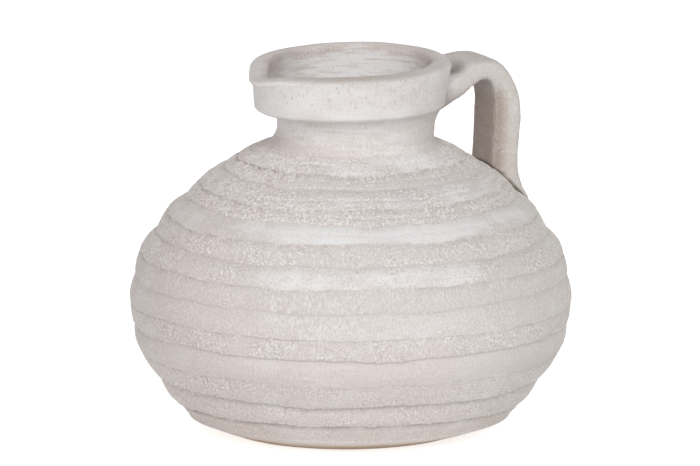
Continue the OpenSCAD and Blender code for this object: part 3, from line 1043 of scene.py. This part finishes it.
# the handle: one strap drawn from the collar to the shoulder, cut into its three pieces.
# each station: outer x and z, inner x and z, tilt to the front,
# half width outside and inside, side flare
handleSizes = {
    "around": 200,
    "along": 400,
    "squareness": 4.4,
    "innerSquareness": 9.0,  # the front edge of the inner face is crisper
    "lumps": 1.8,  # it is lumpier than the rest
    "stations": (
        (56.0, 226.0, 50.0, 197.0, 4.3, 20.0, 10.0, 16.5),
        (58.3, 226.2, 54.5, 200.0, 4.5, 20.0, 14.0, 10.0),
        (61.5, 226.4, 59.3, 203.0, 4.7, 19.5, 17.0, 4.5),
        (64.7, 227.2, 64.5, 205.8, 4.5, 18.8, 17.7, 1.8),
        (68.0, 228.4, 69.8, 208.8, 3.7, 18.3, 18.0, 0.7),
        (76.0, 231.0, 78.5, 215.0, 1.6, 18.0, 18.0, 0.0),
        (83.6, 231.8, 84.4, 218.5, 1.2, 18.0, 18.0, 0.0),
        (90.4, 231.7, 88.0, 218.2, 0.8, 18.0, 18.0, 0.0),
        (96.8, 229.6, 90.6, 215.6, 0.2, 18.0, 18.0, 0.0),
        (102.5, 224.7, 92.0, 211.4, 0.0, 18.0, 18.0, 0.0),
        (107.3, 217.7, 93.0, 207.4, 0.0, 18.0, 18.0, 0.0),
        (111.7, 207.2, 93.3, 203.0, 0.0, 18.0, 18.0, 0.0),
        (113.5, 195.0, 93.0, 195.8, 0.0, 18.0, 18.0, 0.0),
        (112.7, 180.0, 92.3, 181.0, 0.0, 18.0, 18.0, 0.0),
        (111.6, 166.0, 91.4, 167.0, 0.0, 18.0, 18.0, 0.0),
        (112.2, 156.5, 91.2, 161.0, 0.0, 18.2, 18.0, 0.0),
        (114.6, 148.5, 91.6, 157.0, 0.0, 18.8, 18.0, 0.0),
        (118.6, 140.0, 93.0, 154.0, 0.0, 19.0, 18.0, 0.0),
        (116.0, 134.5, 94.0, 151.0, 0.0, 18.0, 17.0, 0.0),
    ),
    "tongue": 7.0,  # how much lower the smeared foot reaches in its middle
    "tongueHeights": (140, 158),
    "tongueInside": 100,  # none nearer to the axis
    "tongueSlope": 0.35,  # the shoulder goes on outwards as it goes down
    "thumbPlace": (68.5, -6.0),
    "thumbSize": (5.5, 8.0),
    "thumbDepth": 3.6,
    "thumbEnd": 90,
    "topCut": 73.0,  # where the upper wad ends, as the middle line's x
    "footCut": 162.6,  # where the lower wad starts, as the middle line's z
    "bendRings": 20,  # rings past the upper cut before the lower one is looked for
    "bareHeights": (205, 222),  # the inside gets barer as the strap comes down past these
    "edgeHeights": (212, 222),
    "creaseHeights": (166, 172),
    "creaseReach": (0.3, 3.0),  # how far out of the body the painted shade along the foot's join goes
    "collarReach": (60, 74),  # the slip of the collar goes on to here
    "bodyTop": 190,
}


def handleRings():
    # rings of points along the strap, their outward push, and the place of each side on a ring
    size = handleSizes
    rows = smoothPath(size["stations"], size["along"])
    a = ringTurns(size["around"])
    crisp = (np.cos(a) < 0) & (np.sin(a) < 0)
    power = np.where(crisp, 2 / size["innerSquareness"], 2 / size["squareness"])
    u = np.sign(np.cos(a)) * np.abs(np.cos(a)) ** power
    v = np.sign(np.sin(a)) * np.abs(np.sin(a)) ** power
    outer, inner = rows[:, None, 0:2], rows[:, None, 2:4]
    tilt, outerHalf, innerHalf, flare = [rows[:, k, None] for k in range(4, 8)]
    share = (u + 1) / 2  # 0 on the inner face, 1 on the outer one
    direction = (outer - inner) / np.linalg.norm(outer - inner, axis=2, keepdims=True)
    flat = inner + (outer - inner) * share[None, :, None] + direction * (tilt * v * share)[:, :, None]
    width = innerHalf + (outerHalf - innerHalf) * share + flare * (1 - u ** 2)
    foot = fade(rows[:, None, 1], *size["tongueHeights"]) * (rows[:, None, 0] > size["tongueInside"])
    drop = foot * share * (1 - v ** 2) * size["tongue"]
    points = np.stack([flat[:, :, 0] + drop * size["tongueSlope"], width * v, flat[:, :, 1] - drop], 2)
    alongDir = np.gradient(points, axis=0)
    roundDir = np.roll(points, -1, 1) - np.roll(points, 1, 1)
    push = np.cross(roundDir, alongDir)
    push /= np.maximum(np.linalg.norm(push, axis=2, keepdims=True), 1e-9)
    centre = points.mean(1, keepdims=True)
    outward = np.sign(((points - centre) * push).sum(2, keepdims=True))
    return points, push * outward * size["lumps"], u


def thumbHollow(points, middle, u):
    # 1 where a thumb pressed the top, beside the collar
    size = handleSizes
    along = bell(points[:, :, 0] - size["thumbPlace"][0], size["thumbSize"][0])
    across = bell(points[:, :, 1] - size["thumbPlace"][1], size["thumbSize"][1])
    return along * across * blend(u, 0.55, 0.8) * (middle[:, 0:1] < size["thumbEnd"])


def handleLooks(points, middle, u, thumb):
    # how bare, pale, sandy, streaked and shaded each place is
    size = handleSizes
    level = middle[:, 2:3]
    innerFace = blend(-u, 0.3, 0.9)
    innerHalf = blend(-u, -0.4, 0.5) * fade(level, *size["bareHeights"])
    innerEdge = bell(u + 0.6, 0.25) * fade(level, *size["edgeHeights"])
    nearCollar = fade(points[:, :, 0], *size["collarReach"])
    # how far each point stands out of the body, for the painted shade along the line where the foot is
    # pressed on
    height = points[:, :, 2] * mm
    out = np.hypot(points[:, :, 0] - leanAt(height) / mm * rightX, points[:, :, 1])
    body = np.vectorize(wallRadius)(np.minimum(height, size["bodyTop"] * mm)) / mm
    creaseShade = fade(out - body, *size["creaseReach"]) * fade(level, *size["creaseHeights"])
    # painted shade: in the thumb's hollow, along the foot's join, on the inner face and its edge, and a
    # little all over the strap
    hollow = thumb * 0.55 + creaseShade * 0.85 + innerFace * 0.18 + innerEdge * 0.19 + 0.1
    return {
        "bare": np.clip(0.12 * (1 - nearCollar) + innerHalf * 0.5 + innerEdge * 0.2, 0, 1),
        "pale": 0.45 * nearCollar - 0.2 - 0.3 * innerFace,
        "sandy": 0.3 + 0.15 * innerFace + 0.3 * innerEdge,
        "streak": 0.3 + 0.4 * innerHalf + 0.3 * innerEdge,
        "hollow": np.clip(hollow, 0, 1),
        "brushed": 0.5,
    }


def makeHandle():
    size = handleSizes
    points, push, u = handleRings()
    middle = points.mean(1)
    topCut = int(np.argmax(middle[:, 0] > size["topCut"]))
    past = np.arange(len(middle)) > topCut + size["bendRings"]
    footCut = int(np.argmax(past & (middle[:, 2] < size["footCut"])))
    thumb = thumbHollow(points, middle, u)
    points[:, :, 2] -= thumb * size["thumbDepth"]
    looks = handleLooks(points, middle, u, thumb)
    pieces = []
    for name, first, last in (("upperHandleWad", 0, topCut), ("handleStrap", topCut, footCut),
                              ("lowerHandleWad", footCut, len(points) - 1)):
        part = slice(first, last + 1)
        values = {label: np.broadcast_to(x, points.shape[:2])[part] for label, x in looks.items()}
        pieces.append(gridPiece(name, points[part], push[part], False, values))
    return pieces


slipClay = slipMaterial()
rawClay = rawMaterial()
relief = reliefTree()
coils = coilTree()
print("materials and trees made")

for number in range(len(coilSizes["crestHeights"])):
    ring = bpy.data.objects.new("wallCoil%d" % (number + 1), bpy.data.meshes.new("coil"))
    bpy.context.scene.collection.objects.link(ring)
    useTree(ring, coils, coilValues(number, slipClay))
    finishPiece(ring, "wall_coil_%d" % (number + 1), slipClay, relief)

finishPiece(makeSlab(), "base_slab", rawClay, relief)
finishPiece(makeNeck(), "neck_ring", slipClay, relief)
finishPiece(makeCollar(), "rim_collar", slipClay, relief)
for piece, node in zip(makeHandle(), ("upper_handle_wad", "handle_strap", "lower_handle_wad")):
    finishPiece(piece, node, slipClay, relief)


# floor, light and camera
stageSizes = {
    "floorHalf": 6.0,
    "floorColour": (0.9, 0.9, 0.9, 1.0),
    "white": (1.0, 1.0, 1.0, 1.0),
    "glow": 0.7,  # white that the camera sees on the floor, added to its lit colour
    "tableLight": 0.12,  # white that the floor sends up to the pot
    "backdrop": 1.0,  # strength of the white behind the pot, as the camera sees it
    "world": 0.21,  # and as it lights the pot
    "lamps": (  # name, azimuth, elevation, distance, size, power, colour
        ("frontLamp", -12, 18, 3.0, 2.4, 24, (1.0, 1.0, 1.0)),
        ("highLamp", -12, 45, 3.0, 2.4, 41, (1.0, 1.0, 1.0)),
        ("leftLamp", -100, 15, 3.0, 2.4, 16.5, (1.0, 0.95, 0.93)),
        ("rightLamp", 116, 6, 3.0, 1.0, 13, (1.0, 1.0, 1.0)),
        ("backLamp", 165, 12, 3.0, 2.0, 15, (1.0, 1.0, 1.0)),
    ),
}
viewSizes = {
    "azimuth": -25,
    "elevation": 11,
    "distance": 8.4,
    "lens": 683,
    "sensorWidth": 36,
    "clipEnd": 100,
    "aimHeight": 123.8 * mm,
}


def seenRays(tree):
    # 1 for a ray from the camera, also by way of gloss or glass
    path = Wire(tree, tree.nodes.new("ShaderNodeLightPath").outputs["Is Camera Ray"])
    seen = path
    for kind in ("Is Glossy Ray", "Is Transmission Ray"):
        seen = seen.math("MAXIMUM", path.of(kind))
    return seen


def makeFloor():
    half = stageSizes["floorHalf"]
    mesh = bpy.data.meshes.new("floor")
    corners = [(-half, -half, 0), (half, -half, 0), (half, half, 0), (-half, half, 0)]
    mesh.from_pydata(corners, [], [(0, 1, 2, 3)])
    floor = bpy.data.objects.new("floor", mesh)
    bpy.context.scene.collection.objects.link(floor)
    material, coords = surfaceMaterial("paleFloor")
    tableLight = stageSizes["tableLight"]
    strength = seenRays(coords.tree) * (stageSizes["glow"] - tableLight) + tableLight
    lit = coords.add("ShaderNodeBsdfDiffuse", {}, {"Color": stageSizes["floorColour"]})
    glow = coords.add("ShaderNodeEmission", {}, {"Color": stageSizes["white"], "Strength": strength})
    toOutput(coords.add("ShaderNodeAddShader", {}, {0: lit, 1: glow}))
    mesh.materials.append(material)


def makeWorld():
    world = bpy.data.worlds.new("studio")
    bpy.context.scene.world = world
    world.use_nodes = True
    world.node_tree.nodes.clear()
    seen = seenRays(world.node_tree)
    strength = seen * (stageSizes["backdrop"] - stageSizes["world"]) + stageSizes["world"]
    light = seen.add("ShaderNodeBackground", {}, {"Color": stageSizes["white"], "Strength": strength})
    toOutput(light, "ShaderNodeOutputWorld")


def placeFacing(name, data, azimuth, elevation, distance):
    # put a lamp or the camera at an angle round the pot, turned to its middle
    holder = bpy.data.objects.new(name, data)
    bpy.context.scene.collection.objects.link(holder)
    a, e = math.radians(azimuth), math.radians(elevation)
    outward = Vector((math.sin(a) * math.cos(e), -math.cos(a) * math.cos(e), math.sin(e)))
    aim = Vector((0, 0, viewSizes["aimHeight"]))
    holder.location = aim + outward * distance
    holder.rotation_euler = (aim - holder.location).to_track_quat("-Z", "Y").to_euler()
    return holder


def makeLamps():
    for name, azimuth, elevation, distance, size, power, colour in stageSizes["lamps"]:
        lamp = bpy.data.lights.new(name, "AREA")
        lamp.shape = "DISK"
        lamp.size = size
        lamp.energy = power
        lamp.color = colour
        placeFacing(name, lamp, azimuth, elevation, distance)


def makeCamera():
    view = viewSizes
    camera = bpy.data.cameras.new("camera")
    camera.sensor_fit = "HORIZONTAL"
    camera.sensor_width = view["sensorWidth"]
    camera.lens = view["lens"]
    camera.clip_end = view["clipEnd"]
    holder = placeFacing("camera", camera, view["azimuth"], view["elevation"], view["distance"])
    bpy.context.scene.camera = holder


makeFloor()
makeWorld()
makeLamps()
makeCamera()
bpy.context.scene.view_settings.view_transform = "Standard"
print("stage made")
